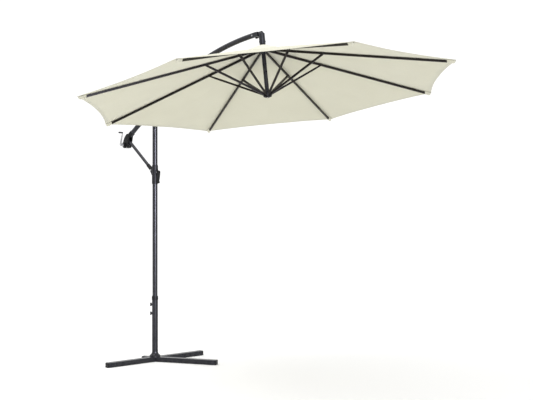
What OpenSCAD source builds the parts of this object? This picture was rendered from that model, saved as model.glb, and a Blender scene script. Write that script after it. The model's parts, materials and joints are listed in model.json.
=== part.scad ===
// Cantilever parasol: a cross base, a turning mast, a tilting boom held by a
// strut and a slider, and an eight-rib canopy that a crank opens and closes.
// Origin on the floor at the mast's axis, +X towards the canopy, +Z up.

/* [Canopy] */
// Distance from the canopy's axis to each corner
canopy_r = 1350; // [1250:10:1400]
// Slope of the ribs below the canopy's flat plane
rib_slope = 14.2; // [12:0.1:16]
// Lean of the canopy towards the mast
canopy_lean = 7.8; // [0:0.1:10]
// Depth of the curve cut into each edge
scallop_depth = 38; // [10:1:60]
// Thickness of the cloth and its seams
cloth_t = 1.5; // [1:0.1:2]
// Radius of the hole round the stem
crown_hole_r = 22; // [21:0.5:30]
// Distance from the mast's axis to the middle of the canopy's corner plane
hub_x = 1290; // [1280:5:1350]
// Height of the middle of the canopy's corner plane
hub_z = 2044.5; // [1950:0.5:2100]

/* [Ribs and stretchers] */
// Height of a rib tube
rib_h = 16; // [14:1:19]
// Width of a rib tube
rib_w = 9; // [8:0.5:10]
// Wall of a rib or stretcher tube
rib_wall = 0.6; // [0.5:0.1:1]
// Distance from the stem's axis to the rib pivots
rib_pivot_r = 28; // [27:0.5:30]
// Distance from the stem's axis to the joint of rib and stretcher
stretcher_joint_r = 446.5; // [420:0.5:470]
// Height of a stretcher tube
stretcher_h = 14; // [10:1:14]
// Width of a stretcher tube
stretcher_w = 11; // [9.8:0.1:11]
// Distance from the stem's axis to the stretcher ends in the runner
runner_pivot_r = 24; // [23:0.5:26]

/* [Mast and post] */
// Outer diameter of the mast
mast_d = 41; // [36:1:42]
// Height of the top of the mast tube
mast_top_z = 1985; // [1950:5:2000]
// Height of the joint between the two halves of the mast
mast_joint_z = 1180; // [900:10:1300]
// Outer diameter of the base post
post_d = 48; // [46:0.5:50]
// Height of the top of the base post
post_top_z = 494; // [470:1:520]
// Wall of the mast and boom tubes
tube_wall = 1.2; // [1:0.1:1.5]

/* [Base] */
// Width of a base bar
bar_w = 45; // [40:1:50]
// Height of a base bar
bar_h = 38; // [35:1:42]
// Direction of the long bar from +X
bar_long_angle = 87; // [80:1:95]
// Length of the long bar on its +Y side
bar_long_back = 465; // [400:5:500]
// Length of the long bar on its -Y side
bar_long_front = 442; // [400:1:500]
// Direction of the short bar from +X
bar_short_angle = 27; // [20:1:35]
// Length of the short bar under the canopy
bar_short_front = 525; // [450:5:600]
// Length of the short bar behind the mast
bar_short_back = 99; // [90:1:150]

/* [Boom] */
// Diameter of the boom tube
boom_d = 38; // [34:1:38]
// Slope of the straight lower part of the boom
boom_low_slope = 34; // [33:0.5:35]
// Slope of the boom at its canopy end
boom_high_slope = 5.5; // [4:0.5:7]
// Radius of the boom's bend
boom_bend_r = 2430; // [2400:10:2460]
// Distance from the mast's axis to where the bend starts
boom_bend_x = 31; // [25:1:40]
// Height of the boom's centre where the bend starts
boom_bend_z = 2080; // [2070:1:2090]
// Length of the straight part below the bend
boom_low_len = 440; // [436:1:446]

/* [Slider and strut] */
// Height of the strut's pin on the slider
strut_pin_z = 1540; // [1520:1:1560]
// Distance from the mast's axis to the strut's pin on the slider
strut_pin_x = 38; // [37:0.5:40]
// Diameter of the strut tube
strut_d = 25; // [22:1:26]
// Outer diameter of the slider's sleeve
slider_d = 50; // [48:0.5:52]
// Lowest point of the slider
slider_low_z = 1428; // [1420:1:1440]
// Highest point of the slider
slider_high_z = 1580; // [1570:1:1590]

/* [Winch] */
// Distance of the crank axle behind the mast's axis
axle_x = 386; // [380:1:390]
// Height of the crank axle
axle_z = 1758; // [1750:1:1765]
// Distance from the middle of the winch to the crank arm
crank_y = 58; // [52:1:64]
// Length of the crank arm between its centres
crank_len = 102; // [90:1:110]
// Lean of the crank arm from the vertical
crank_lean = 17; // [0:1:30]
// Width of the winch housing
winch_w = 44; // [42:1:48]

/* [Hidden] */
$fn = 48;

anthracite = "#3c3d43";
dark_brown = "#2b2724";
black = "#1d1d1f";
steel = "#b9bbbd";
cream = "#e6e3cf";

eps = 0.05;         // depth by which a cutting shape passes a face
fit = 0.06;         // radial clearance of a pin or shaft that turns
slack = 0.4;        // clearance of faces that pass each other
press = 0.02;       // radial clearance of a pin pressed into a hole
seat = 0.05;        // clearance of a tube or plug seated in another piece
bore_len = 60;      // a pin hole's cutter, longer than any piece it goes through
ribs = 8;
half_step = 180 / ribs;

// Canopy heights are measured along its axis from the corner plane
apex_h = canopy_r * tan(rib_slope);
apothem = canopy_r * cos(half_step);
half_edge = canopy_r * sin(half_step);
panel_slope = atan(apex_h / apothem);
rib_drop = 11.8;    // from the cloth's outer face to the middle of a rib
function rib_line_h(r) = apex_h - r * tan(rib_slope) - rib_drop / cos(rib_slope);
rib_pivot_h = rib_line_h(rib_pivot_r);
stretcher_joint_h = rib_line_h(stretcher_joint_r);
rib_end_gap = 14;   // from the end of a rib to the corner of the cloth
rib_len = (canopy_r - rib_end_gap - rib_pivot_r) / cos(rib_slope);
joint_along_rib = (stretcher_joint_r - rib_pivot_r) / cos(rib_slope);
runner_pivot_h = 2;
stretcher_rise = stretcher_joint_h - runner_pivot_h;
stretcher_run = stretcher_joint_r - runner_pivot_r;
stretcher_len = sqrt(stretcher_rise * stretcher_rise + stretcher_run * stretcher_run);
stretcher_slope = atan(stretcher_rise / stretcher_run);
pivot_pin_r = 2;

// Boom: F is the middle of the saddle, P the mast pivot below it
boom_r = boom_d / 2;
saddle_drop = 40;
boom_z_at_mast = boom_bend_z - boom_bend_x * tan(boom_low_slope);
mast_pivot_z = boom_z_at_mast - saddle_drop / cos(boom_low_slope);
saddle_len = 90;
saddle_r = 21.5;
mast_bolt_r = 5;
boom_turn = boom_low_slope - boom_high_slope;
boom_end_x = boom_bend_x + boom_bend_r * (sin(boom_low_slope) - sin(boom_high_slope));
boom_end_z = boom_bend_z + boom_bend_r * (cos(boom_high_slope) - cos(boom_low_slope));
boom_stub = 12;     // straight tube past the head bolt
head_drop = 7;      // head bolt below the middle of the boom
head_bolt_r = 4;
boom_low_x = boom_bend_x - boom_low_len * cos(boom_low_slope);
boom_low_z = boom_bend_z - boom_low_len * sin(boom_low_slope);

mast_r = mast_d / 2;
mast_bore_r = mast_r - tube_wall;
post_r = post_d / 2;
post_bore_r = 22.1;
post_floor_z = bar_h + 12;

// Strut: its upper pivot lies in the winch housing
strut_top_x = -352;
strut_top_z = 1793;
strut_dx = strut_top_x + strut_pin_x;
strut_dz = strut_top_z - strut_pin_z;
strut_len = sqrt(strut_dx * strut_dx + strut_dz * strut_dz);
strut_slope = atan2(strut_dz, -strut_dx);
strut_pin_r = 4;
slider_r = slider_d / 2;
slider_bore_r = 22;
lever_pin_x = 36;
lever_pin_z = 1522;
lever_pin_r = 3;

stem_r = 15;
stem_low_h = 4;
stem_high_h = 408;
stem_bore_r = 13.4;
elbow_r = 22;
elbow_low_h = 368;
elbow_high_h = 450;
pulley_h = 433;
pulley_r = 11;
pulley_x = -12;     // the pulley's middle, on the mast's side of the stem's axis
pulley_axle_r = 3;
cord_r = 2;
cord_gap = 2.8;     // sideways offset of each fall of the lift cord

// ---------------------------------------------------------------- frames

module canopy_frame() {
    translate([hub_x, 0, hub_z]) rotate([0, -canopy_lean, 0]) children();
}

module rib_frame(i) {
    canopy_frame() rotate([0, 0, half_step + (i - 1) * 2 * half_step]) children();
}

// X along the rib from its pivot, falling with the rib
module along_rib(i) {
    rib_frame(i) translate([rib_pivot_r, 0, rib_pivot_h]) rotate([0, rib_slope, 0]) children();
}

// X along the stretcher from the rib joint down to the runner
module along_stretcher(i) {
    rib_frame(i) translate([stretcher_joint_r, 0, stretcher_joint_h])
        rotate([0, 180 - stretcher_slope, 0]) children();
}

// X along the straight part of the boom, origin on the mast pivot
module mast_pivot_frame() {
    translate([0, 0, mast_pivot_z]) rotate([0, -boom_low_slope, 0]) children();
}

// X along the boom at its canopy end, origin on the head bolt
module head_frame() {
    translate([boom_end_x, 0, boom_end_z]) rotate([0, -boom_high_slope, 0])
        translate([0, 0, -head_drop]) children();
}

// X from the strut's pin on the slider up to the winch
module strut_frame() {
    translate([-strut_pin_x, 0, strut_pin_z]) rotate([0, 180 + strut_slope, 0]) children();
}

module axle_frame() {
    translate([-axle_x, 0, axle_z]) children();
}

// A cylinder along Y that starts at y
module y_rod(r, len, y) {
    translate([0, y + len, 0]) rotate([90, 0, 0]) cylinder(r = r, h = len);
}

module x_rod(r, len) {
    rotate([0, 90, 0]) cylinder(r = r, h = len);
}

// A flat outline in X and Z, drawn from y = from to y = to
module slab(from, to) {
    translate([0, to, 0]) rotate([90, 0, 0]) linear_extrude(to - from) children();
}

// A hexagonal head or nut on the Y axis that starts at y
module y_hex(across, h, y) {
    translate([0, y + h, 0]) rotate([90, 0, 0]) cylinder(d = across, h = h, $fn = 6);
}

// ---------------------------------------------------------------- base

bar_lap_slack = 0.02;
lap_box = 200;      // side of the box that bounds the lap joint
cap_plug = [20, 38, 31];
cap_lip = 9;
cap_wall = 3;
cap_inset = 0.5;    // the lip's edge inside the bar's edge
base_bolt_ring = 31;
base_bolt_r = 4;
base_hole_r = base_bolt_r + 0.1;
bolt_head_hole = [7, 8];    // radius and depth

module bar_blank(angle, back, front) {
    rotate([0, 0, angle]) translate([-back, -bar_w / 2, 0]) cube([back + front, bar_w, bar_h]);
}

// The places of the four end caps: bar angle and distance of the bar's end
BAR_ENDS = [
    [bar_long_angle, bar_long_back],
    [bar_long_angle + 180, bar_long_front],
    [bar_short_angle, bar_short_front],
    [bar_short_angle + 180, bar_short_back]
];

module at_bar_ends() {
    for (end = BAR_ENDS) rotate([0, 0, end[0]]) translate([end[1], 0, bar_h / 2]) children();
}

module cap_pockets() {
    depth = cap_plug[0] + 0.5;
    at_bar_ends() translate([-depth, -cap_plug[1] / 2 - seat, -cap_plug[2] / 2 - seat])
        cube([depth + eps, cap_plug[1] + 2 * seat, cap_plug[2] + 2 * seat]);
}

module at_base_bolts() {
    for (a = [bar_long_angle, bar_long_angle + 180, bar_short_angle, bar_short_angle + 180])
        rotate([0, 0, a]) translate([base_bolt_ring, 0, 0]) children();
}

module bolt_holes() {
    at_base_bolts() {
        translate([0, 0, -eps]) cylinder(r = bolt_head_hole[0], h = bolt_head_hole[1] + eps);
        translate([0, 0, -eps]) cylinder(r = base_hole_r, h = bar_h + 2 * eps);
    }
}

module base_bar_long() {
    color(anthracite) difference() {
        bar_blank(bar_long_angle, bar_long_front, bar_long_back);
        intersection() {
            bar_blank(bar_short_angle, bar_short_back + 1, bar_short_front);
            translate([-lap_box / 2, -lap_box / 2, bar_h / 2]) cube([lap_box, lap_box, bar_h]);
        }
        cap_pockets();
        bolt_holes();
    }
}

module base_bar_short() {
    color(anthracite) difference() {
        bar_blank(bar_short_angle, bar_short_back, bar_short_front);
        intersection() {
            bar_blank(bar_long_angle, bar_long_front, bar_long_back);
            translate([-lap_box / 2, -lap_box / 2, -bar_h / 2 + bar_lap_slack])
                cube([lap_box, lap_box, bar_h]);
        }
        cap_pockets();
        bolt_holes();
    }
}

module base_end_caps() {
    color(black) at_bar_ends() {
        translate([0, cap_inset - bar_w / 2, cap_inset - bar_h / 2])
            cube([cap_lip, bar_w - 2 * cap_inset, bar_h - 2 * cap_inset]);
        difference() {
            translate([-cap_plug[0], -cap_plug[1] / 2, -cap_plug[2] / 2])
                cube([cap_plug[0] + 0.5, cap_plug[1], cap_plug[2]]);
            translate([-cap_plug[0] - eps, cap_wall - cap_plug[1] / 2, cap_wall - cap_plug[2] / 2])
                cube([cap_plug[0] - 2, cap_plug[1] - 2 * cap_wall, cap_plug[2] - 2 * cap_wall]);
        }
    }
}

module base_bolts() {
    color(steel) at_base_bolts() {
        translate([0, 0, 2]) cylinder(d = 13, h = 6, $fn = 6);
        translate([0, 0, 7]) cylinder(r = base_bolt_r, h = post_floor_z - 10);
    }
}

flange_r = 42.5;
flare_r = 34;
flare_top_z = 82;
screw_r = 4;
screw_angle = 225;
SCREW_Z = [458, 387];
wing = [12, 9, 13.5];   // out from the post, thickness, reach
wing_turn = 12;         // turn of the wings from the vertical

// The post: a round foot that curves up into a tube
module base_post() {
    flare_end = acos((post_r + flare_r - flange_r) / flare_r);
    steps = 12;
    flare = [for (k = [0:steps]) let (t = flare_end * k / steps)
        [post_r + flare_r * (1 - cos(t)), flare_top_z - flare_r * sin(t)]];
    color(anthracite) difference() {
        union() {
            rotate_extrude() polygon(concat(
                [[0, bar_h], [0, post_floor_z], [post_bore_r, post_floor_z],
                 [post_bore_r, post_top_z], [post_r, post_top_z]],
                flare, [[flange_r, bar_h]]));
            at_wing_screws() translate([post_bore_r + 0.8, 0, 0]) x_rod(8, 4);
        }
        at_wing_screws() translate([post_bore_r - 3, 0, 0]) x_rod(screw_r + fit, 12);
        at_base_bolts() translate([0, 0, bar_h - eps])
            cylinder(r = base_hole_r, h = post_floor_z - bar_h - 2);
    }
}

// Collar at the post's mouth that guides the mast
module post_collar() {
    color(black) rotate_extrude() polygon([
        [mast_r + fit, post_top_z - 16], [post_bore_r - seat, post_top_z - 16],
        [post_bore_r - seat, post_top_z],
        [post_r + 1.1, post_top_z], [post_r + 1.7, post_top_z + 2],
        [post_r + 1.7, post_top_z + 26], [post_r + 0.1, post_top_z + 32],
        [mast_r + fit, post_top_z + 32]]);
}

module at_wing_screw(k) {
    translate([0, 0, SCREW_Z[k]]) rotate([0, 0, screw_angle]) children();
}

module at_wing_screws() {
    for (k = [0, 1]) at_wing_screw(k) children();
}

module wing_screw(k) {
    color(black) at_wing_screw(k) {
        translate([mast_r + slack, 0, 0]) x_rod(screw_r, 14);
        translate([post_r + 3.4, 0, 0]) x_rod(6.5, 11);
        for (side = [-1, 1])
            rotate([wing_turn, 0, 0])
                translate([post_r + 3.3, -wing[1] / 2, side > 0 ? 0 : -wing[2]]) cube(wing);
    }
}

module wing_screw_upper() { wing_screw(0); }
module wing_screw_lower() { wing_screw(1); }

// ---------------------------------------------------------------- mast

plug_top_z = 100;

module mast_foot_plug() {
    color(black) {
        translate([0, 0, post_floor_z + 0.1])
            cylinder(r = post_bore_r - 0.08, h = plug_top_z - post_floor_z - 0.1);
        translate([0, 0, plug_top_z]) cylinder(r = mast_bore_r - seat, h = 35);
    }
}

spigot_len = 90;

module mast_lower_tube() {
    len = mast_joint_z - plug_top_z;
    color(anthracite) difference() {
        translate([0, 0, plug_top_z]) cylinder(r = mast_r, h = len);
        translate([0, 0, plug_top_z - eps]) cylinder(r = mast_bore_r, h = len + 2 * eps);
    }
}

// The upper half has a narrowed end that slips into the lower half
module mast_upper_tube() {
    inner_r = mast_bore_r - 1.3;
    outer_r = mast_bore_r - 0.1;
    color(anthracite) rotate_extrude() polygon([
        [inner_r, mast_joint_z - spigot_len], [outer_r, mast_joint_z - spigot_len],
        [outer_r, mast_joint_z + 0.1], [mast_r, mast_joint_z + 0.1],
        [mast_r, mast_top_z], [mast_bore_r, mast_top_z], [mast_bore_r, mast_joint_z + 8],
        [inner_r, mast_joint_z + 4]]);
}

lug_half = 11;      // half the width of the saddle's lug
cheek_t = 6;

module mast_head() {
    color(anthracite) difference() {
        union() {
            translate([0, 0, mast_top_z - 50]) cylinder(r = mast_bore_r - seat, h = 50);
            translate([0, 0, mast_top_z]) cylinder(r = mast_r, h = 8);
            for (side = [-1, 1]) {
                y = side > 0 ? lug_half + slack : -lug_half - slack - cheek_t;
                translate([0, 0, mast_pivot_z]) y_rod(15, cheek_t, y);
                translate([-12, y, mast_top_z + 4]) cube([24, cheek_t, mast_pivot_z - mast_top_z - 4]);
            }
        }
        translate([0, 0, mast_pivot_z]) y_rod(mast_bolt_r + press, bore_len, -bore_len / 2);
    }
}

module mast_head_bolt() {
    outer = lug_half + slack + cheek_t;
    color(steel) translate([0, 0, mast_pivot_z]) {
        y_rod(mast_bolt_r, 2 * outer + 8, -outer - 2);
        y_hex(17, 5, -outer - 5.1);
        y_hex(17, 5, outer + 0.1);
    }
}

// ---------------------------------------------------------------- slider

strut_tongue_half = 8;
strut_cheek_t = 5;
lever_half = 9;
lever_cheek_t = 3.5;

module strut_cheek_outline() {
    hull() {
        translate([-strut_pin_x, strut_pin_z]) circle(r = 12.5, $fn = 32);
        translate([-slider_r + 2.5, strut_pin_z - 46]) square([2, 66]);
    }
}

module lever_bracket_outline() {
    hull() {
        translate([lever_pin_x, lever_pin_z]) circle(r = 8, $fn = 32);
        translate([slider_r - 4.5, lever_pin_z - 26]) square([2, 46]);
    }
}

module slider_sleeve() {
    tongue = strut_tongue_half + slack;
    lever = lever_half + slack;
    color(anthracite) difference() {
        union() {
            rotate_extrude() polygon([
                [slider_bore_r, slider_low_z], [slider_r - 1, slider_low_z],
                [slider_r, slider_low_z + 2], [slider_r, slider_high_z - 14],
                [slider_r - 1.6, slider_high_z], [slider_bore_r, slider_high_z]]);
            for (side = [-1, 1]) {
                slab(side > 0 ? tongue : -tongue - strut_cheek_t,
                     side > 0 ? tongue + strut_cheek_t : -tongue) strut_cheek_outline();
                slab(side > 0 ? lever : -lever - lever_cheek_t,
                     side > 0 ? lever + lever_cheek_t : -lever) lever_bracket_outline();
            }
        }
        translate([0, 0, slider_low_z - 1]) cylinder(r = slider_bore_r, h = 200);
        translate([-strut_pin_x, 0, strut_pin_z]) y_rod(strut_pin_r + press, bore_len, -bore_len / 2);
        translate([lever_pin_x, 0, lever_pin_z]) y_rod(lever_pin_r + press, bore_len, -bore_len / 2);
    }
}

module slider_bush() {
    color(black) rotate_extrude() polygon([
        [mast_r + fit, slider_low_z + 2], [slider_bore_r - 0.02, slider_low_z + 2],
        [slider_bore_r - 0.02, slider_high_z - 2], [mast_r + fit, slider_high_z - 2]]);
}

module slider_pins() {
    outer = strut_tongue_half + slack + strut_cheek_t;
    lever_outer = lever_half + slack + lever_cheek_t;
    color(steel) {
        translate([-strut_pin_x, 0, strut_pin_z]) {
            y_rod(strut_pin_r, 2 * outer + 2, -outer - 1);
            y_rod(7, 2.5, -outer - 2.6);
            y_rod(7, 2.5, outer + 0.1);
        }
        translate([lever_pin_x, 0, lever_pin_z])
            y_rod(lever_pin_r, 2 * lever_outer + 1, -lever_outer - 0.5);
    }
}

// Grip that is pulled out at its foot to free the slider
module release_lever() {
    color(black) difference() {
        slab(-lever_half, lever_half) polygon([
            [27.5, 1512], [28.5, 1528], [34, 1533], [46, 1535], [56, 1531], [58, 1520],
            [55, 1496], [49, 1466], [46, 1455], [51, 1440], [47, 1433], [36, 1432],
            [27.5, 1440], [26.5, 1470]]);
        translate([lever_pin_x, 0, lever_pin_z]) y_rod(lever_pin_r + fit, bore_len, -bore_len / 2);
    }
}

// ---------------------------------------------------------------- strut

strut_start = 22;
socket_len = 52;
strut_end = strut_len - 14;
strut_plug = 6;
tongue_r = 9;
tongue_half = 6;

// The strut's tube with a plugged end, a tongue and the pin that turns in the winch
module strut_tube() {
    color(anthracite) strut_frame() {
        difference() {
            translate([strut_start, 0, 0]) x_rod(strut_d / 2, strut_end - strut_start);
            translate([strut_start - eps, 0, 0])
                x_rod(strut_d / 2 - tube_wall, strut_end - strut_plug - strut_start);
        }
        translate([strut_end - 1, -tongue_half, -tongue_r])
            cube([strut_len - strut_end + 1, 2 * tongue_half, 2 * tongue_r]);
        translate([strut_len, 0, 0]) {
            y_rod(tongue_r, 2 * tongue_half, -tongue_half);
            y_rod(strut_pin_r, strut_d - 1, (1 - strut_d) / 2);
        }
    }
}

module strut_socket() {
    eye_r = 11.5;
    color(black) strut_frame() difference() {
        union() {
            y_rod(eye_r, 2 * strut_tongue_half, -strut_tongue_half);
            translate([0, -strut_tongue_half, -eye_r]) cube([20, 2 * strut_tongue_half, 2 * eye_r]);
            translate([14, 0, 0]) x_rod(15.5, socket_len);
        }
        translate([strut_start - 0.1, 0, 0]) x_rod(strut_d / 2 + seat, socket_len);
        y_rod(strut_pin_r + fit, bore_len, -bore_len / 2);
    }
}

// ---------------------------------------------------------------- boom

// The boom's path as a round bar of radius r, from its low end to the stub
module boom_low_frame() {
    translate([boom_bend_x, 0, boom_bend_z]) rotate([0, -boom_low_slope, 0]) children();
}

module boom_high_frame() {
    translate([boom_end_x, 0, boom_end_z]) rotate([0, -boom_high_slope, 0]) children();
}

module boom_bend(r) {
    translate([boom_bend_x + boom_bend_r * sin(boom_low_slope), 0,
               boom_bend_z - boom_bend_r * cos(boom_low_slope)])
        rotate([90, 0, 0]) rotate([0, 0, 90 + boom_high_slope])
            rotate_extrude(angle = boom_turn, $fn = 96) translate([boom_bend_r, 0]) circle(r = r);
}

module tube_x(r, wall, from, to) {
    translate([from, 0, 0]) difference() {
        x_rod(r, to - from);
        translate([-eps, 0, 0]) x_rod(r - wall, to - from + 2 * eps);
    }
}

// The bend is a little thinner than the straight ends, which run on over it
module boom_tube() {
    swage = 0.15;
    overlap = 6;
    bend_r = boom_r - swage;
    color(anthracite) difference() {
        union() {
            boom_low_frame() tube_x(boom_r, tube_wall, -boom_low_len, overlap);
            boom_high_frame() tube_x(boom_r, tube_wall, -overlap, boom_stub);
            difference() {
                boom_bend(bend_r);
                boom_bend(bend_r - tube_wall);
            }
        }
        head_frame() y_rod(head_bolt_r + fit, bore_len, -bore_len / 2);
    }
}

module boom_saddle() {
    color(anthracite) mast_pivot_frame() difference() {
        union() {
            translate([-saddle_len / 2, 0, saddle_drop]) x_rod(saddle_r, saddle_len);
            y_rod(14, 2 * lug_half, -lug_half);
            translate([-14, -lug_half, 0]) cube([28, 2 * lug_half, saddle_drop - 10]);
        }
        translate([-saddle_len / 2 - 1, 0, saddle_drop]) x_rod(boom_r + seat, saddle_len + 2);
        y_rod(mast_bolt_r + fit, bore_len, -bore_len / 2);
    }
}

// ---------------------------------------------------------------- winch

shell_wall = 3;
cavity_half = 14.5;
axle_r = 5;
axle_stub_r = 3;
axle_stub_len = 4;
collar_r = 22.5;
collar_back = 14;   // collar behind the boom's end
collar_len = 52;

// The housing's outline in X and Z: a round lobe for the spool, a lobe at the
// strut's pivot, and the mouth round the boom
module winch_outline(less = 0) {
    hull() {
        translate([-axle_x, axle_z]) circle(r = 28 - less, $fn = 32);
        translate([strut_top_x, strut_top_z]) circle(r = 20 - less, $fn = 32);
        translate([strut_top_x - 14, strut_top_z + 19]) circle(r = 19 - less, $fn = 32);
        translate([strut_top_x - 8, axle_z - 9]) circle(r = 18 - less, $fn = 32);
        translate([boom_low_x, boom_low_z]) rotate(boom_low_slope)
            translate([-collar_back, 0]) circle(r = collar_r - 0.5 - less, $fn = 32);
    }
}

swing_low = -strut_slope;
swing_high = 24;

// The space that the strut sweeps through in the housing
module strut_sweep() {
    reach = 120;
    slab(-13.4, 13.4) translate([strut_top_x, strut_top_z]) {
        circle(r = 23);
        hull() {
            for (a = [swing_low - 3, swing_high]) {
                rotate(a) translate([reach, 0]) circle(r = 13.5, $fn = 32);
                rotate(a) translate([-14, 0]) circle(r = 12, $fn = 32);
            }
        }
    }
}

screw_hole_r = 1.8;
WINCH_SCREWS = [[-395, 1735.5], [-352, 1736], [-391, 1783.5]];

module at_winch_screws() {
    for (p = WINCH_SCREWS) translate([p[0], 0, p[1]]) children();
}

module winch_shell(side) {
    color(black) difference() {
        union() {
            slab(-winch_w / 2, winch_w / 2) winch_outline();
            translate([boom_low_x, 0, boom_low_z]) rotate([0, -boom_low_slope, 0])
                translate([-collar_back, 0, 0]) x_rod(collar_r, collar_len);
            if (side < 0) axle_frame() y_rod(14, 24, -46);
        }
        slab(-cavity_half, cavity_half) winch_outline(shell_wall);
        strut_sweep();
        translate([boom_low_x, 0, boom_low_z]) rotate([0, -boom_low_slope, 0])
            x_rod(boom_r + seat, 80);
        axle_frame() y_rod(axle_r + fit, 140, side < 0 ? -70 : -20);
        at_winch_screws() y_rod(screw_hole_r, bore_len, -bore_len / 2);
        translate([-600, side < 0 ? -0.1 : -100, 1600]) cube([400, 100.1, 400]);
    }
}

module winch_shell_left() { winch_shell(-1); }
module winch_shell_right() { winch_shell(1); }

module winch_screws() {
    color(steel) at_winch_screws() {
        y_rod(screw_hole_r - seat, winch_w - 4, -winch_w / 2);
        y_rod(3.4, 2, -winch_w / 2 - 2);
    }
}

spool_half = 11;

module winch_spool() {
    color(steel) axle_frame() {
        y_rod(axle_r, crank_y + winch_w / 2 - 2, -crank_y);
        y_rod(axle_stub_r, axle_stub_len, -crank_y - axle_stub_len + 0.1);
        y_rod(13, 2 * spool_half, -spool_half);
        for (y = [-spool_half - 2, spool_half]) y_rod(21, 2, y);
    }
}

grip_len = 35;
grip_pin_r = 3;
grip_pin_len = grip_len + 9;

// X across, Z up along the crank arm
module crank_frame() {
    axle_frame() rotate([0, crank_lean, 0]) children();
}

module crank_arm() {
    color(steel) crank_frame() difference() {
        union() {
            slab(-crank_y - 5, -crank_y) hull() {
                circle(r = 9, $fn = 32);
                translate([0, crank_len]) circle(r = 5, $fn = 32);
            }
            y_rod(6.5, 7, -crank_y - 7);
            translate([0, 0, crank_len]) y_rod(grip_pin_r, grip_pin_len, -crank_y - grip_pin_len);
        }
        y_rod(axle_stub_r + press, axle_stub_len + eps, -crank_y - axle_stub_len);
    }
}

module crank_grip() {
    color(black) crank_frame() translate([0, 0, crank_len]) difference() {
        y_rod(6.5, grip_len, -crank_y - 5.4 - grip_len);
        y_rod(grip_pin_r + fit, bore_len, -crank_y - bore_len);
    }
}

// ---------------------------------------------------------------- head

head_cheek_in = boom_r + slack;
head_cheek_out = head_cheek_in + 4;
head_block_x = 30;

module head_elbow() {
    color(anthracite) difference() {
        union() {
            canopy_frame() {
                translate([0, 0, elbow_low_h])
                    cylinder(r = elbow_r, h = elbow_high_h - elbow_low_h - 6);
                translate([0, 0, elbow_low_h + 14]) cylinder(r = elbow_r + 2, h = 8);
                translate([0, 0, elbow_high_h - 6]) cylinder(r1 = elbow_r, r2 = elbow_r - 5, h = 6);
            }
            head_frame() {
                for (side = [-1, 1]) {
                    y = side > 0 ? head_cheek_in : -head_cheek_out;
                    y_rod(18, 4, y);
                    translate([0, y, -15]) cube([head_block_x + 1, 4, 30]);
                }
                translate([head_block_x, -head_cheek_out, -15])
                    cube([22, 2 * head_cheek_out, 32]);
                translate([head_block_x, 0, 2]) x_rod(18, 46);
            }
        }
        canopy_frame() {
            translate([0, 0, elbow_low_h - eps])
                cylinder(r = stem_r + seat, h = stem_high_h - elbow_low_h + eps);
            translate([-27, -7, stem_high_h - 1])
                cube([33, 14, pulley_h + pulley_r + 4 - stem_high_h]);
            translate([pulley_x, 0, pulley_h]) y_rod(pulley_axle_r + press, bore_len, -bore_len / 2);
        }
        head_frame() {
            y_rod(head_bolt_r + press, bore_len, -bore_len / 2);
            translate([head_block_x - eps, 0, head_drop + 3]) rotate([0, 8, 0]) x_rod(5, 40);
        }
    }
}

module head_bolt() {
    color(steel) head_frame() {
        y_rod(head_bolt_r, 2 * head_cheek_out + 8, -head_cheek_out - 2);
        y_hex(14, 4.5, -head_cheek_out - 4.6);
        y_hex(14, 4.5, head_cheek_out + 0.1);
    }
}

module stem_tube() {
    color(anthracite) canopy_frame() difference() {
        translate([0, 0, stem_low_h]) cylinder(r = stem_r, h = stem_high_h - stem_low_h);
        translate([0, 0, stem_low_h - eps]) cylinder(r = stem_bore_r, h = stem_high_h);
    }
}

hub_r = 34;
hub_core_r = 18.4;
rib_slot_half = rib_w / 2 + slack;

// Hub with eight slots; each holds the end of a rib on a pin
module top_hub() {
    color(black) canopy_frame() difference() {
        union() {
            difference() {
                translate([0, 0, rib_pivot_h - 14]) cylinder(r = hub_r, h = 20.5);
                for (i = [1:ribs]) rotate([0, 0, half_step * (2 * i - 1)])
                    translate([hub_core_r, -rib_slot_half, rib_pivot_h - 20])
                        cube([30, 2 * rib_slot_half, 40]);
            }
            for (i = [1:ribs]) rotate([0, 0, half_step * (2 * i - 1)])
                translate([rib_pivot_r, 0, rib_pivot_h])
                    y_rod(pivot_pin_r, 2 * rib_slot_half + 3, -rib_slot_half - 1.5);
        }
        translate([0, 0, rib_pivot_h - 30]) cylinder(r = stem_r + seat, h = 60);
    }
}

module cord_pulley() {
    bore_r = pulley_axle_r + press + fit;
    flange = pulley_r + 2;
    color(black) canopy_frame() translate([pulley_x, 0, pulley_h]) difference() {
        rotate([90, 0, 0]) translate([0, 0, -6]) rotate_extrude() polygon([
            [bore_r, 0], [flange, 0], [pulley_r, 4], [pulley_r, 8], [flange, 12], [bore_r, 12]]);
        y_rod(bore_r, bore_len, -bore_len / 2);
    }
}

// Hub that slides down below the stem as the canopy closes
module runner() {
    core_r = runner_pivot_r - stretcher_h / 2 - 0.8;
    slot_half = stretcher_w / 2 + slack;
    low = -20;
    high = 21;
    color(black) canopy_frame() difference() {
        translate([0, 0, low]) rotate_extrude() polygon([
            [0, 3], [9, 0], [core_r, 0], [29, 6], [30.5, 10], [30.5, high - low - 8],
            [28, high - low - 2], [26, high - low], [0, high - low]]);
        translate([0, 0, stem_low_h - 1]) cylinder(r = stem_r + 0.3, h = 40);
        for (i = [1:ribs]) rotate([0, 0, half_step * (2 * i - 1)])
            translate([core_r, -slot_half, low - 5]) cube([30, 2 * slot_half, 60]);
        translate([0, -cord_gap, low - 1]) cylinder(r = cord_r + 0.3, h = 40);
    }
}

// ---------------------------------------------------------------- lift cord

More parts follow.
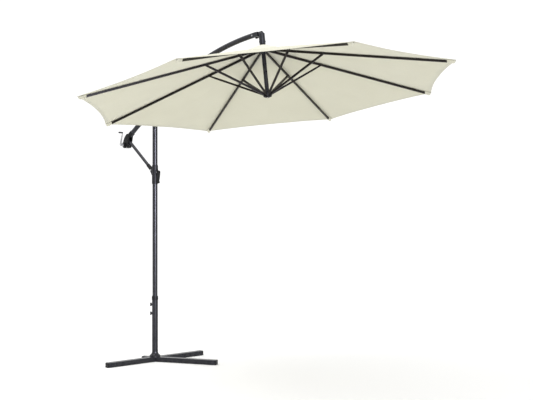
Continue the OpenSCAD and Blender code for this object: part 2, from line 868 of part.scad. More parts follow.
// From the top of the spool through the boom to the head
module lift_cord() {
    wrap_r = 13 + cord_r + 0.2;
    dx = boom_low_x + axle_x;
    dz = boom_low_z - axle_z;
    reach = sqrt(dx * dx + dz * dz);
    lead = atan2(dz, dx) - asin(wrap_r / reach);
    color(cream) {
        boom_low_frame() translate([-boom_low_len, 0, 0]) x_rod(cord_r, boom_low_len);
        boom_bend(cord_r);
        boom_high_frame() x_rod(cord_r, boom_stub);
        axle_frame() rotate([0, -lead, 0]) translate([0, 0, wrap_r])
            x_rod(cord_r, sqrt(reach * reach - wrap_r * wrap_r));
        for (p = [[boom_low_x, boom_low_z], [boom_bend_x, boom_bend_z], [boom_end_x, boom_end_z]])
            translate([p[0], 0, p[1]]) sphere(r = cord_r + 0.2);
    }
}

// One fall of the cord, beside the stem's axis
module cord_fall(low, high, y) {
    canopy_frame() translate([0, y, low]) cylinder(r = cord_r, h = high - low, $fn = 24);
}

module lift_cord_mid() { color(cream) cord_fall(stem_low_h + 4, stem_high_h - 2, cord_gap); }
module lift_cord_drop() { color(cream) cord_fall(-18, stem_high_h - 2, -cord_gap); }

// ---------------------------------------------------------------- canopy

fork_len = 66;
fork_in = rib_w / 2 + slack;
fork_t = 2.6;
fork_out = fork_in + fork_t;

module rib(i) {
    knuckle = 16;
    color(dark_brown) along_rib(i) difference() {
        union() {
            y_rod(rib_h / 2, rib_w, -rib_w / 2);
            translate([0, -rib_w / 2, -rib_h / 2]) cube([rib_len - rib_h / 2, rib_w, rib_h]);
            translate([rib_len - rib_h / 2, 0, 0]) y_rod(rib_h / 2, rib_w, -rib_w / 2);
        }
        translate([knuckle, -rib_w / 2 + rib_wall, -rib_h / 2 + rib_wall])
            cube([rib_len - 2 * knuckle, rib_w - 2 * rib_wall, rib_h - 2 * rib_wall]);
        y_rod(pivot_pin_r + fit, 40, -20);
        translate([joint_along_rib, 0, 0]) y_rod(pivot_pin_r + fit, 40, -20);
    }
}

// A tube with a fork that straddles the rib; its pin goes through the rib
module stretcher(i) {
    bar_start = 50;
    hollow = [stretcher_len - bar_start - 12, stretcher_w - 2 * rib_wall, stretcher_h - 2 * rib_wall];
    color(dark_brown) along_stretcher(i) {
        difference() {
            union() {
                translate([bar_start, -stretcher_w / 2, -stretcher_h / 2])
                    cube([stretcher_len - bar_start, stretcher_w, stretcher_h]);
                translate([stretcher_len, 0, 0])
                    y_rod(stretcher_h / 2, stretcher_w, -stretcher_w / 2);
            }
            translate([bar_start + 4, -hollow[1] / 2, -hollow[2] / 2]) cube(hollow);
        }
        for (side = [-1, 1]) {
            y = side > 0 ? fork_in : -fork_out;
            y_rod(7, fork_t, y);
            translate([0, y, -6]) cube([fork_len, fork_t, 12]);
        }
        y_rod(pivot_pin_r, 2 * fork_out, -fork_out);
    }
}

seam_gap = 0.3;     // half the gap between the cloth of two ribs

// A point of the cloth's outer face: u along the panel's middle, v towards the rib
function cloth_point(u, v, side) = [
    u * cos(half_step) + v * sin(half_step),
    side * (u * sin(half_step) - v * cos(half_step)),
    apex_h - u * tan(panel_slope)];

// From the hole at the panel's middle, along the scalloped edge to the rib
function cloth_half(side, steps = 8) = concat(
    [cloth_point(crown_hole_r * cos(half_step), seam_gap, side)],
    [for (k = [0:steps]) let (v = seam_gap + (half_edge - seam_gap) * k / steps)
        cloth_point(apothem - scallop_depth * (1 - pow(v / half_edge, 2)), v, side)]);

function reversed(list) = [for (k = [len(list) - 1:-1:0]) list[k]];

// The cloth over one rib: two flat half panels that meet along it
module canopy_sector(i) {
    half = cloth_half(-1);
    other = cloth_half(1);
    crown = cloth_point(crown_hole_r * cos(half_step), crown_hole_r * sin(half_step), 1);
    ring = concat(half, reversed([for (k = [0:len(other) - 2]) other[k]]), [crown]);
    n = len(ring);
    drop = [0, 0, cloth_t / cos(panel_slope)];
    color(cream) rib_frame(i) polyhedron(
        points = concat(ring, [for (p = ring) p - drop]),
        faces = concat(
            [for (k = [0:n - 3]) [n - 1, k + 1, k]],
            [for (k = [0:n - 3]) [2 * n - 1, n + k, n + k + 1]],
            [for (k = [0:n - 1]) let (m = (k + 1) % n) [k, m, n + m, n + k]]));
}

// ---------------------------------------------------------------- nodes

base_bar_long();
base_bar_short();
base_end_caps();
base_post();
base_bolts();
post_collar();
wing_screw_upper();
wing_screw_lower();
mast_foot_plug();
mast_lower_tube();
mast_upper_tube();
mast_head();
mast_head_bolt();
slider_sleeve();
slider_bush();
slider_pins();
release_lever();
strut_tube();
strut_socket();
boom_tube();
boom_saddle();
winch_shell_left();
winch_shell_right();
winch_screws();
winch_spool();
crank_arm();
crank_grip();
head_elbow();
head_bolt();
stem_tube();
top_hub();
cord_pulley();
runner();
lift_cord();
lift_cord_mid();
lift_cord_drop();
for (i = [1:ribs]) {
    rib(i);
    stretcher(i);
    canopy_sector(i);
}
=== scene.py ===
"""Cantilever parasol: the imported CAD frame, with sewn cloth, fittings, materials, light and camera."""
import json
import math

import bpy
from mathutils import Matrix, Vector, noise


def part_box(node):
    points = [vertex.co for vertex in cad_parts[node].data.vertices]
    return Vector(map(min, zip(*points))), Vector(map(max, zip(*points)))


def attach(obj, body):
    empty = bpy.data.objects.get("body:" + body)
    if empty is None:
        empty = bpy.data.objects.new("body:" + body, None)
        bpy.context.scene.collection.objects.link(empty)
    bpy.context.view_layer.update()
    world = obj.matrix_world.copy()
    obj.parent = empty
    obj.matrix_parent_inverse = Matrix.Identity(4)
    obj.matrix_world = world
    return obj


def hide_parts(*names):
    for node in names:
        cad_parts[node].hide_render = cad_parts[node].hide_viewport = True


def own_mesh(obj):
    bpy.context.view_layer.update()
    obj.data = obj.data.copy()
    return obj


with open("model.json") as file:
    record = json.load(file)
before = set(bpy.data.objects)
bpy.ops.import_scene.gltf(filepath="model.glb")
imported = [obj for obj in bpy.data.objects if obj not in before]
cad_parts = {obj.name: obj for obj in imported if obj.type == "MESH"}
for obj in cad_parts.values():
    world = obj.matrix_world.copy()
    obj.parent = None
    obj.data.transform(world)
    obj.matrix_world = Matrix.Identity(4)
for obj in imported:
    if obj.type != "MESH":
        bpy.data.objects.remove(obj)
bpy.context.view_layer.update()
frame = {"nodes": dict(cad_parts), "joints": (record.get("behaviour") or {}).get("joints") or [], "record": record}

MM = 0.001
RIBS = 8
HALF_STEP = math.pi / RIBS
JOINTS = {joint["name"]: joint for joint in frame["joints"]}
# place in metres, turn about Z in degrees, lens and sensor width in millimetres
CAMERA = {"place": (6.087, -4.734, 1.2985), "turn": 45.44, "lens": 64.23, "sensor": 36.0}


# ------------------------------------------------------------------ camera

def make_camera():
    """Level camera, below the canopy, on the crank's side and in front of the mast."""
    data = bpy.data.cameras.new("camera")
    data.sensor_width = CAMERA["sensor"]
    data.lens = CAMERA["lens"]
    camera = bpy.data.objects.new("camera", data)
    camera.location = CAMERA["place"]
    camera.rotation_euler = (math.radians(90), 0, math.radians(CAMERA["turn"]))
    bpy.context.scene.collection.objects.link(camera)
    bpy.context.scene.camera = camera


make_camera()


# ------------------------------------------------------------------ shader helpers

def link(tree, source, target):
    tree.links.new(source, target)


def node(tree, kind, **values):
    """A shader node with its inputs set; a value that is a socket is linked."""
    made = tree.nodes.new(kind)
    for name, value in values.items():
        if name.startswith("_"):
            setattr(made, name[1:], value)
            continue
        key = int(name[1:]) if name[0] == "i" and name[1:].isdigit() else name.replace("__", " ")
        if isinstance(value, bpy.types.NodeSocket):
            link(tree, value, made.inputs[key])
        else:
            made.inputs[key].default_value = value
    return made


def math_node(tree, operation, a, b=0.0):
    return node(tree, "ShaderNodeMath", _operation=operation, i0=a, i1=b).outputs[0]


def new_material(name, roughness, **sockets):
    """A material with a Principled shader. Returns the material, its tree and the shader."""
    material = bpy.data.materials.new(name)
    material.use_nodes = True
    tree = material.node_tree
    shader = tree.nodes["Principled BSDF"]
    shader.inputs["Roughness"].default_value = roughness
    for socket, value in sockets.items():
        shader.inputs[socket.replace("_", " ")].default_value = value
    return material, tree, shader


def object_coords(tree, scale=(1, 1, 1)):
    coords = node(tree, "ShaderNodeTexCoord").outputs["Object"]
    return node(tree, "ShaderNodeMapping", Vector=coords, Scale=scale).outputs[0]


def mottle(tree, coords, scale, low, high, detail=4.0):
    """Noise stretched to run from low to high."""
    value = node(tree, "ShaderNodeTexNoise", Vector=coords, Scale=scale, Detail=detail).outputs[0]
    spread = node(tree, "ShaderNodeMapRange", Value=value, From__Min=0.3, From__Max=0.7,
                  To__Min=low, To__Max=high)
    return spread.outputs[0]


def two_tone(tree, factor, first, second):
    mix = node(tree, "ShaderNodeMix", _data_type="RGBA", i0=factor)
    mix.inputs[6].default_value = (*first, 1)
    mix.inputs[7].default_value = (*second, 1)
    return mix.outputs[2]


def bump(tree, height, strength, distance):
    return node(tree, "ShaderNodeBump", Height=height, Strength=strength, Distance=distance).outputs[0]


# ------------------------------------------------------------------ materials

GRAIN_DEPTH = 0.4 * MM


def powder_coat(name, colour, lighter, roughness, specular=0.3):
    """Baked powder coat: orange peel, cloudy tone and faint rubbed patches."""
    material, tree, shader = new_material(name, roughness, Specular_IOR_Level=specular)
    cloud_scale, rubbed_scale, peel_scale = 7.0, 23.0, 650.0
    rubbed, dull = roughness - 0.03, roughness + 0.05
    coords = object_coords(tree)
    link(tree, two_tone(tree, mottle(tree, coords, cloud_scale, 0.0, 1.0), colour, lighter),
         shader.inputs["Base Color"])
    link(tree, mottle(tree, coords, rubbed_scale, rubbed, dull), shader.inputs["Roughness"])
    peel = mottle(tree, coords, peel_scale, 0.0, 1.0, 2.0)
    link(tree, bump(tree, peel, 0.03, GRAIN_DEPTH), shader.inputs["Normal"])
    return material


def moulded_plastic(name, colour, lighter, roughness):
    """Moulded plastic with a spark-eroded grain."""
    material, tree, shader = new_material(name, roughness, Specular_IOR_Level=0.17)
    cloud_scale, worn_scale, grain_scale = 16.0, 40.0, 1100.0
    worn, dull = roughness - 0.08, roughness + 0.1
    coords = object_coords(tree)
    link(tree, two_tone(tree, mottle(tree, coords, cloud_scale, 0.0, 1.0), colour, lighter),
         shader.inputs["Base Color"])
    link(tree, mottle(tree, coords, worn_scale, worn, dull), shader.inputs["Roughness"])
    grain = node(tree, "ShaderNodeTexVoronoi", Vector=coords, Scale=grain_scale).outputs["Distance"]
    link(tree, bump(tree, grain, 0.22, GRAIN_DEPTH), shader.inputs["Normal"])
    return material


def zinc_plate(name):
    """Bright zinc with fine turning marks and cloudy tone."""
    cloud_scale, dull_scale, mark_scale, mark_depth = 35.0, 90.0, 260.0, 0.3 * MM
    darker, brighter = (0.34, 0.345, 0.355), (0.5, 0.5, 0.495)
    material, tree, shader = new_material(name, 0.3, Metallic=1.0)
    coords = object_coords(tree)
    marks = mottle(tree, object_coords(tree, (1, 14, 1)), mark_scale, 0.0, 1.0, 2.0)
    link(tree, two_tone(tree, mottle(tree, coords, cloud_scale, 0.0, 1.0), darker, brighter),
         shader.inputs["Base Color"])
    link(tree, mottle(tree, coords, dull_scale, 0.22, 0.4), shader.inputs["Roughness"])
    link(tree, bump(tree, marks, 0.15, mark_depth), shader.inputs["Normal"])
    return material


def braided_cord(name):
    """Braided polyester cord: crossing diagonal yarns."""
    between, yarn, yarn_depth = (0.42, 0.4, 0.33), (0.72, 0.69, 0.58), 0.6 * MM
    material, tree, shader = new_material(name, 0.8, Sheen_Weight=0.3)
    coords = object_coords(tree)
    first = node(tree, "ShaderNodeTexWave", _bands_direction="DIAGONAL", Vector=coords, Scale=180.0)
    second = node(tree, "ShaderNodeTexWave", _bands_direction="Z", Vector=coords, Scale=150.0)
    yarns = math_node(tree, "MAXIMUM", first.outputs["Fac"], second.outputs["Fac"])
    link(tree, two_tone(tree, yarns, between, yarn), shader.inputs["Base Color"])
    link(tree, bump(tree, yarns, 0.6, yarn_depth), shader.inputs["Normal"])
    return material


CREAM = (0.725, 0.713, 0.59)
CREAM_DARK = (0.685, 0.672, 0.548)
THREAD = (0.82, 0.8, 0.68)
YARN_PITCH = 1.1 * MM
YARN_DEPTH = 0.5 * MM
STITCH_PITCH = 4.5 * MM
STITCH_ROWS = (3.0 * MM, 9.0 * MM)
STITCH_HALF = 0.7 * MM


def woven_cloth(name, stitched=False, translucent=0.25):
    """Woven polyester in the piece's UV, which is in metres. A stitched piece has two rows of thread
    along its U direction. The translucent share lets light through from the other face."""
    material, tree, shader = new_material(name, 0.86, Sheen_Weight=0.25, Sheen_Roughness=0.5,
                                          Specular_IOR_Level=0.25)
    uv = node(tree, "ShaderNodeUVMap").outputs[0]
    split = node(tree, "ShaderNodeSeparateXYZ", Vector=uv)
    pitch = 2 * math.pi / YARN_PITCH
    warp = math_node(tree, "SINE", math_node(tree, "MULTIPLY", split.outputs[0], pitch))
    weft = math_node(tree, "SINE", math_node(tree, "MULTIPLY", split.outputs[1], pitch))
    weave = math_node(tree, "MULTIPLY", warp, weft)
    cloud = mottle(tree, uv, 5.0, 0.0, 1.0)
    slub = mottle(tree, node(tree, "ShaderNodeMapping", Vector=uv, Scale=(30, 700, 1)).outputs[0],
                  1.0, 0.0, 1.0, 2.0)
    tone = math_node(tree, "ADD", math_node(tree, "MULTIPLY", cloud, 0.6),
                     math_node(tree, "MULTIPLY", slub, 0.4))
    colour = two_tone(tree, tone, CREAM, CREAM_DARK)
    height = math_node(tree, "ADD", math_node(tree, "MULTIPLY", weave, 0.5), slub)
    if stitched:
        thread = math_node(tree, "SINE", math_node(tree, "MULTIPLY", split.outputs[0],
                                                   2 * math.pi / STITCH_PITCH))
        dash = math_node(tree, "GREATER_THAN", thread, -0.4)
        rows = 0.0
        for row in STITCH_ROWS:
            off = math_node(tree, "ABSOLUTE", math_node(tree, "SUBTRACT", split.outputs[1], row))
            rows = math_node(tree, "ADD", rows, math_node(tree, "LESS_THAN", off, STITCH_HALF))
        stitches = math_node(tree, "MULTIPLY", dash, rows)
        mix = node(tree, "ShaderNodeMix", _data_type="RGBA", i0=stitches)
        link(tree, colour, mix.inputs[6])
        mix.inputs[7].default_value = (*THREAD, 1)
        colour = mix.outputs[2]
        height = math_node(tree, "ADD", height, math_node(tree, "MULTIPLY", stitches, 3.0))
    normal = bump(tree, height, 0.35, YARN_DEPTH)
    link(tree, colour, shader.inputs["Base Color"])
    link(tree, normal, shader.inputs["Normal"])
    if translucent:
        glow = node(tree, "ShaderNodeBsdfTranslucent", Color=colour, Normal=normal)
        mixed = node(tree, "ShaderNodeMixShader", i0=translucent, i1=shader.outputs[0],
                     i2=glow.outputs[0])
        link(tree, mixed.outputs[0], tree.nodes["Material Output"].inputs[0])
    return material


MATERIALS = {
    "coated_steel": powder_coat("coated_steel", (0.0135, 0.0138, 0.0185), (0.0195, 0.0202, 0.0265),
                                0.27, 0.27),
    "coated_aluminium": powder_coat("coated_aluminium", (0.0108, 0.012, 0.016), (0.0165, 0.0182, 0.0235),
                                    0.32, 0.27),
    "rib_profile": powder_coat("rib_profile", (0.009, 0.0065, 0.0052), (0.014, 0.01, 0.0085), 0.4, 0.2),
    "black_plastic": moulded_plastic("black_plastic", (0.004, 0.004, 0.0042), (0.009, 0.009, 0.0095),
                                     0.45),
    "grey_plastic": moulded_plastic("grey_plastic", (0.012, 0.0122, 0.015), (0.018, 0.0185, 0.022),
                                    0.42),
    "grip_plastic": moulded_plastic("grip_plastic", (0.02, 0.02, 0.022), (0.03, 0.03, 0.033), 0.5),
    "zinc_steel": zinc_plate("zinc_steel"),
    "cord": braided_cord("cord"),
    "canopy_cloth": woven_cloth("canopy_cloth"),
}
CLOTH_SEWN = woven_cloth("canopy_cloth_sewn", stitched=True, translucent=0.12)

for part in frame["record"]["subparts"]:
    mesh = frame["nodes"][part["node"]].data
    mesh.materials.clear()
    mesh.materials.append(MATERIALS[part["material_slot"]])


# ------------------------------------------------------------------ mesh helpers

def add_piece(name, points, faces, slot, body, material=None, uvs=None):
    """A smooth mesh piece with its material, riding on a body."""
    mesh = bpy.data.meshes.new(name)
    mesh.from_pydata(points, [], faces)
    if uvs:
        layer = mesh.uv_layers.new(name="UVMap")
        for loop in mesh.loops:
            layer.data[loop.index].uv = uvs[loop.vertex_index]
    mesh.materials.append(material or MATERIALS[slot])
    mesh.shade_smooth()
    piece = bpy.data.objects.new(name, mesh)
    bpy.context.scene.collection.objects.link(piece)
    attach(piece, body)
    return piece


def grid_faces(rows, columns, closed=False):
    """Quads of a grid of points stored row by row; closed joins each row's ends."""
    faces = []
    for r in range(rows - 1):
        for c in range(columns if closed else columns - 1):
            d = (c + 1) % columns
            faces.append((r * columns + c, r * columns + d,
                          (r + 1) * columns + d, (r + 1) * columns + c))
    return faces


def thicken(piece, thickness, offset=-1.0):
    """Gives the sheet its thickness. Its rims are sharp, so that sheets that meet show no line."""
    solid = piece.modifiers.new("thickness", "SOLIDIFY")
    solid.thickness = thickness
    solid.offset = offset
    evaluated = piece.evaluated_get(bpy.context.evaluated_depsgraph_get())
    final = bpy.data.meshes.new_from_object(evaluated)
    piece.modifiers.clear()
    piece.data = final
    final.set_sharp_from_angle(angle=math.radians(50))
    return piece


def lathe_points(profile, origin, axis, segments):
    """Rings of (radius, height) about an axis."""
    turn = Vector(axis).normalized().to_track_quat("Z", "Y").to_matrix()
    points = []
    for radius, height in profile:
        for k in range(segments):
            a = 2 * math.pi * k / segments
            spot = Vector((radius * math.cos(a), radius * math.sin(a), height))
            points.append(Vector(origin) + turn @ spot)
    return points


def lathe(name, turnings, profile, slot, body, segments=28):
    """One piece with the same turned profile at each (origin, axis). Both ends of it are capped."""
    points, faces = [], []
    rows = len(profile)
    for origin, axis in turnings:
        base = len(points)
        points += lathe_points(profile, origin, axis, segments)
        faces += [tuple(base + k for k in face) for face in grid_faces(rows, segments, closed=True)]
        faces.append(tuple(base + k for k in reversed(range(segments))))
        faces.append(tuple(base + (rows - 1) * segments + k for k in range(segments)))
    piece = add_piece(name, points, faces, slot, body)
    piece.data.set_sharp_from_angle(angle=math.radians(38))
    return piece


# ------------------------------------------------------------------ canopy's own frame

UP = -Vector(JOINTS["runner_slide"]["axis"]).normalized()
RIB_JOINTS = ["canopy_fold"] + [f"rib_{i}_turn" for i in range(2, RIBS + 1)]
PIVOTS = [Vector(JOINTS[name]["pos_m"]) for name in RIB_JOINTS]
CENTRE = sum(PIVOTS, Vector()) / RIBS
RADIAL = [(pivot - CENTRE).normalized() for pivot in PIVOTS]
TANGENT = [UP.cross(direction) for direction in RADIAL]


def from_canopy(i, x, y, h):
    """A point x along rib i's direction, y across it and h up the canopy's axis."""
    return CENTRE + x * RADIAL[i] + y * TANGENT[i] + h * UP


def to_canopy(i, point):
    away = Vector(point) - CENTRE
    return away.dot(RADIAL[i]), away.dot(TANGENT[i]), away.dot(UP)


def measure_cloth():
    """The CAD cloth's radii at the corners, the crown hole and the edges' middles, then the height
    of its apex and its fall per metre of radius, both of the outer face."""
    points = [to_canopy(0, v.co) for v in frame["nodes"]["canopy_sector_1"].data.vertices]
    spans = [(math.hypot(x, y), math.atan2(abs(y), x), h) for x, y, h in points]
    corner_r = max(r for r, _, _ in spans)
    hole_r = min(r for r, _, _ in spans)
    middle_r = max(r for r, a, _ in spans if a > HALF_STEP * 0.98)
    corner_h = max(h for r, _, h in spans if r > corner_r - 1 * MM)
    crown_h = max(h for _, _, h in spans)
    fall = (crown_h - corner_h) / ((corner_r - hole_r) * math.cos(HALF_STEP))
    return corner_r, hole_r, middle_r, corner_h + fall * corner_r * math.cos(HALF_STEP), fall


CORNER_R, HOLE_R, MIDDLE_R, APEX_H, FALL = measure_cloth()
APOTHEM = CORNER_R * math.cos(HALF_STEP)
HALF_EDGE = CORNER_R * math.sin(HALF_STEP)
SCALLOP = APOTHEM - MIDDLE_R
RIB_SLOPE = math.atan(FALL * math.cos(HALF_STEP))
SAG = 11.7 * MM     # gives 8.3 mm at the deepest place between two ribs
WAVE = 1.2 * MM     # height of the soft waves
WAVE_SCALE = 5.0
CLOTH_T = 1.0 * MM
UV_SHIFT = 0.37     # so that no two sectors show the same weave


def edge_radius(angle):
    """Distance from the axis to the scalloped edge, at an angle from the rib."""
    b = HALF_STEP - abs(angle)
    curve = SCALLOP * (math.sin(b) / HALF_EDGE) ** 2
    if curve < 1e-9:
        return MIDDLE_R / math.cos(b)
    return (math.cos(b) - math.sqrt(math.cos(b) ** 2 - 4 * curve * MIDDLE_R)) / (2 * curve)


def cloth_point(i, radius, angle, lift=0.0):
    """A point on the cloth's outer face over rib i: flat panels with a slight sag and soft waves."""
    x, y = radius * math.cos(angle), radius * math.sin(angle)
    h = APEX_H - FALL * radius * math.cos(HALF_STEP - abs(angle))
    share = abs(angle) / HALF_STEP
    out = radius / CORNER_R
    h -= SAG * (1 - (1 - share) ** 2) * out * (1.5 - out * out)
    spot = from_canopy(i, x, y, 0)
    h += WAVE * noise.noise(spot * WAVE_SCALE) * min(1.0, share * 3) * min(1.0, out * 3)
    return from_canopy(i, x, y, h + lift)


def cloth_angles(columns):
    """Angles from seam to seam, closer together near the rib."""
    spread = [2 * c / (columns - 1) - 1 for c in range(columns)]
    return [HALF_STEP * math.copysign(abs(s) ** 1.5, s) for s in spread]


def with_fold(piece):
    """Gives the cloth piece a mesh of its own."""
    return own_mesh(piece)


def sector_cloth(i):
    rows, columns = 44, 41
    angles = cloth_angles(columns)
    points, uvs = [], []
    for r in range(rows):
        out = (r / (rows - 1)) ** 0.9
        for a in angles:
            radius = HOLE_R + (edge_radius(a) - HOLE_R) * out
            points.append(cloth_point(i, radius, a))
            side = math.copysign(HALF_STEP, a)
            uvs.append((radius * math.cos(a - side) + i * UV_SHIFT, radius * math.sin(a - side)))
    piece = add_piece(f"canopy_cloth_{i + 1}", points, grid_faces(rows, columns), "canopy_cloth",
                      f"rib_{i + 1}", uvs=uvs)
    thicken(piece, CLOTH_T)
    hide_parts(f"canopy_sector_{i + 1}")
    return piece


def sector_strip(name, i, inner, outer, lift, thickness, rows=6, columns=41):
    """Cloth laid over the sector between two radii, each a function of the angle, and lifted off it
    by a function of the radius."""
    points, uvs = [], []
    for r in range(rows):
        for a in cloth_angles(columns):
            radius = outer(a) + (inner(a) - outer(a)) * r / (rows - 1)
            points.append(cloth_point(i, radius, a, lift(radius)))
            uvs.append((outer(a) * a, outer(a) - radius))
    piece = add_piece(f"{name}_{i + 1}", points, [face[::-1] for face in grid_faces(rows, columns)],
                      "canopy_cloth", f"rib_{i + 1}", CLOTH_SEWN, uvs)
    return thicken(piece, thickness)


HEM_W = 24 * MM
PATCH_R = 235 * MM
PATCH_RISE = 24 * MM
PATCH_GAP = 0.9 * MM


def sector_hem(i):
    return sector_strip("hem", i, lambda a: edge_radius(a) - HEM_W, lambda a: edge_radius(a) + 0.8 * MM,
                        lambda r: 0.5 * MM, 2.2 * MM)


def patch_lift(radius):
    """The crown patch stands off the cloth towards the stem, up to the ring under the elbow."""
    share = radius / PATCH_R
    return PATCH_GAP + PATCH_RISE * max(0.0, 1 - share) ** 1.25 * (1 + 0.6 * share)


def sector_patch(i):
    """One eighth of the crown patch."""
    return sector_strip("crown_patch", i, lambda a: HOLE_R - 1 * MM,
                        lambda a: PATCH_R / math.cos(HALF_STEP - abs(a)), patch_lift, 0.8 * MM, rows=18)


def rib_seam(i):
    """Flat-felled seam along the ridge over the rib."""
    half, start, end, count = 6.5 * MM, PATCH_R - 8 * MM, CORNER_R - 4 * MM, 60
    points, uvs = [], []
    for k in range(count):
        x = start + (end - start) * k / (count - 1)
        width = half * min(1.0, (CORNER_R - x) / (18 * MM) + 0.25)
        for share in (-1, -0.75, 0, 0.75, 1):
            y = width * share
            h = 0.15 * MM if abs(share) == 1 else 0.8 * MM
            points.append(cloth_point(i, math.hypot(x, y), math.atan2(y, x), h))
            uvs.append((x, 6 * MM + 6 * MM * share))
    piece = add_piece(f"rib_seam_{i + 1}", points, grid_faces(count, 5), "canopy_cloth",
                      f"rib_{i + 1}", CLOTH_SEWN, uvs)
    return thicken(piece, 0.5 * MM)


def corner_pocket(i):
    """Cloth pocket round the rib's outer end, closed at the corner."""
    start, end = CORNER_R - 60 * MM, CORNER_R - 6 * MM
    wide, deep = 12.5 * MM, 22 * MM
    section = [(-1.0, 0.05), (-0.8, 0.3), (-0.6, 0.72), (-0.42, 0.95), (0, 1.0),
               (0.42, 0.95), (0.6, 0.72), (0.8, 0.3), (1.0, 0.05)]
    steps = 12
    points, uvs = [], []
    for k in range(steps):
        x = start + (end - start) * k / (steps - 1)
        close = max(0.0, (k - steps + 4) / 3)
        depth = deep * (1 - 0.72 * close ** 2)
        for y_share, d_share in section:
            y = wide * y_share * (1 - 0.45 * close ** 2)
            top = cloth_point(i, math.hypot(x, y), math.atan2(y, x), -0.9 * MM)
            points.append(top - UP * depth * d_share)
            uvs.append((x, y + deep * d_share))
    piece = add_piece(f"corner_pocket_{i + 1}", points, grid_faces(steps, len(section)), "canopy_cloth",
                      f"rib_{i + 1}", CLOTH_SEWN, uvs)
    return thicken(piece, 0.8 * MM, 0.0)


def make_canopy():
    for i in range(RIBS):
        cloth = sector_cloth(i)
        trims = [sector_hem(i), sector_patch(i), rib_seam(i), corner_pocket(i)]
        for piece in [cloth] + trims[:2]:
            with_fold(piece)


make_canopy()


# ------------------------------------------------------------------ fittings

def in_mm(profile):
    return [(radius * MM, height * MM) for radius, height in profile]


DOME = [(0.05, 0), (1.0, 0), (1.0, 0.25), (0.86, 0.55), (0.55, 0.8), (0.05, 0.92)]


def dome(radius, height):
    """Profile of a round-headed rivet."""
    return [(r * radius, z * height) for r, z in DOME]


def make_rivets():
    """Rivet heads on each stretcher's fork."""
    fork_out = 7.5 * MM
    for i in range(RIBS):
        pivot = Vector(JOINTS[f"stretcher_{i + 1}_turn"]["pos_m"])
        ends = [(pivot + side * fork_out * TANGENT[i], side * TANGENT[i]) for side in (-1, 1)]
        lathe(f"stretcher_rivet_{i + 1}", ends, dome(4 * MM, 2 * MM), "coated_steel",
              f"stretcher_{i + 1}", 20)


def make_rib_tips():
    """Moulded caps on the ribs' outer ends."""
    profile = in_mm([(0.3, -10), (6, -10), (6.6, -2), (6, 4), (3.6, 7), (0.3, 8)])
    for i in range(RIBS):
        along = (RADIAL[i] * math.cos(RIB_SLOPE) - UP * math.sin(RIB_SLOPE)).normalized()
        vertices = frame["nodes"][f"rib_{i + 1}"].data.vertices
        reach = max((Vector(v.co) - PIVOTS[i]).dot(along) for v in vertices)
        tip = PIVOTS[i] + along * (reach - 6 * MM)
        lathe(f"rib_tip_{i + 1}", [(tip, along)], profile, "black_plastic", f"rib_{i + 1}", 24)


def make_winch_fittings():
    """Pivot heads on the housing, a ring and a cup round the axle, and the crank's screw."""
    pivot = Vector(JOINTS["strut_turn"]["pos_m"])
    side_y, far_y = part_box("winch_screws")[0].y + 2 * MM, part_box("winch_shell_right")[1].y
    strut = frame["nodes"]["strut_tube"].data.vertices
    away = max((v.co for v in strut), key=lambda co: (co - pivot).length)
    direction = Vector((away.x - pivot.x, 0, away.z - pivot.z)).normalized()
    top = pivot + direction * ((away - pivot).length - 9 * MM)
    sides = [(Vector((top.x, side_y, top.z)), (0, -1, 0)),
             (Vector((top.x, far_y, top.z)), (0, 1, 0))]
    lathe("strut_pin_heads", sides, dome(7 * MM, 3 * MM), "black_plastic", "boom")
    axle = Vector(JOINTS["crank_turn"]["pos_m"])
    ring = in_mm([(14.5, -0.5), (23, -0.5), (23, 1.6), (21.5, 2.2), (16, 2.2), (14.5, 1.6)])
    sides = [(Vector((axle.x, side_y, axle.z)), (0, -1, 0)),
             (Vector((axle.x, far_y, axle.z)), (0, 1, 0))]
    lathe("winch_ring", sides, ring, "black_plastic", "boom", 48)
    boss_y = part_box("winch_shell_left")[0].y
    cup = in_mm([(8, -9), (14.5, -9), (14.5, -0.5), (13, 1), (8, 1)])
    lathe("axle_cup", [(Vector((axle.x, boss_y, axle.z)), (0, -1, 0))], cup, "zinc_steel", "boom", 40)
    arm_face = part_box("crank_arm")[1].y
    hub_y = arm_face - 7 * MM
    lathe("crank_screw", [(Vector((axle.x, hub_y, axle.z)), (0, -1, 0))], dome(5.2 * MM, 3 * MM),
          "zinc_steel", "crank")


def make_head_fittings():
    """Crown ring under the elbow, and the knot that ends the lift cord under the runner."""
    crown = CENTRE + UP * (APEX_H - FALL * HOLE_R + patch_lift(HOLE_R))
    ring = in_mm([(15.3, -5), (25, -5), (26, -3.5), (23, 1), (19, 4), (15.3, 4)])
    lathe("crown_ring", [(crown, UP)], ring, "black_plastic", "head", 40)
    knot = in_mm([(0.4, -12), (2.2, -11), (2.4, -8), (5, -6.5), (5.6, -4), (4.4, -2.4), (5.4, -0.6),
                  (4.6, 1.4), (2, 2)])
    vertices = frame["nodes"]["lift_cord_drop"].data.vertices
    low = min(to_canopy(0, v.co)[2] for v in vertices)
    drop = to_canopy(0, sum((v.co for v in vertices), Vector()) / len(vertices))
    spot = from_canopy(0, drop[0], drop[1], low - 3 * MM)
    lathe("cord_knot", [(spot, UP)], knot, "cord", "runner", 20)


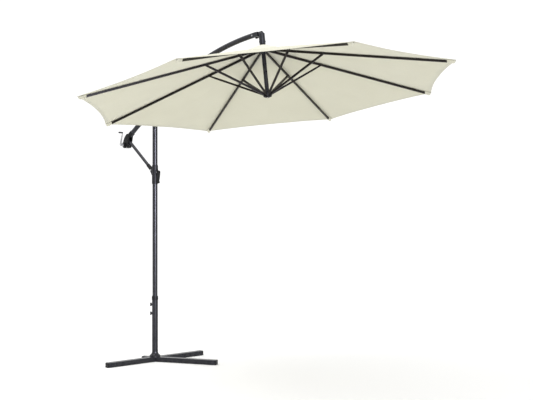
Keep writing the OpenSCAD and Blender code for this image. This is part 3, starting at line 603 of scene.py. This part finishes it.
def make_base_fittings():
    """Weld bead round the post's foot."""
    low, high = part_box("base_post")
    foot_r = (high.x - low.x) / 2
    bead = [(foot_r - 2 * MM, 0.0), (foot_r + 1.6 * MM, 0.0), (foot_r + 1.4 * MM, 1.6 * MM),
            (foot_r + 0.2 * MM, 2.8 * MM), (foot_r - 2 * MM, 3 * MM)]
    lathe("foot_weld", [(Vector((0, 0, low.z)), (0, 0, 1))], bead, "coated_steel", "base", 64)


make_rivets()
make_rib_tips()
make_winch_fittings()
make_head_fittings()
make_base_fittings()


# ------------------------------------------------------------------ stage and light

FLOOR_WHITE = (0.97, 0.97, 0.97, 1)
WORLD_LIGHT = 1.1


def make_floor():
    size = 40.0
    mesh = bpy.data.meshes.new("floor")
    corners = [(-size, -size, 0), (size, -size, 0), (size, size, 0), (-size, size, 0)]
    mesh.from_pydata(corners, [], [(0, 1, 2, 3)])
    floor = bpy.data.objects.new("floor", mesh)
    bpy.context.scene.collection.objects.link(floor)
    material, _, shader = new_material("floor", 0.9, Specular_IOR_Level=0.1)
    shader.inputs["Base Color"].default_value = FLOOR_WHITE
    mesh.materials.append(material)


def make_light(name, place, target, size, energy, tint=(1, 1, 1)):
    data = bpy.data.lights.new(name, "AREA")
    data.shape = "RECTANGLE"
    data.size, data.size_y = size
    data.energy = energy
    data.color = tint
    light = bpy.data.objects.new(name, data)
    light.location = place
    light.rotation_euler = (Vector(target) - Vector(place)).to_track_quat("-Z", "Y").to_euler()
    bpy.context.scene.collection.objects.link(light)
    return light


def make_world():
    world = bpy.data.worlds.new("studio")
    world.use_nodes = True
    background = world.node_tree.nodes["Background"]
    background.inputs[0].default_value = (1, 1, 1, 1)
    background.inputs[1].default_value = WORLD_LIGHT
    bpy.context.scene.world = world
    bpy.context.scene.view_settings.view_transform = "Standard"


make_floor()
make_world()
make_light("overhead", place=(0.2, -1.8, 6.2), target=(1.3, 0, 2.0), size=(3.6, 3.6), energy=150)
strip = make_light("strip", place=(5.13, -1.98, 1.9), target=(0, 0, 1.3), size=(0.5, 2.6), energy=760,
                   tint=(0.8, 0.8, 1.0))
strip.visible_diffuse = False
strip.visible_camera = False
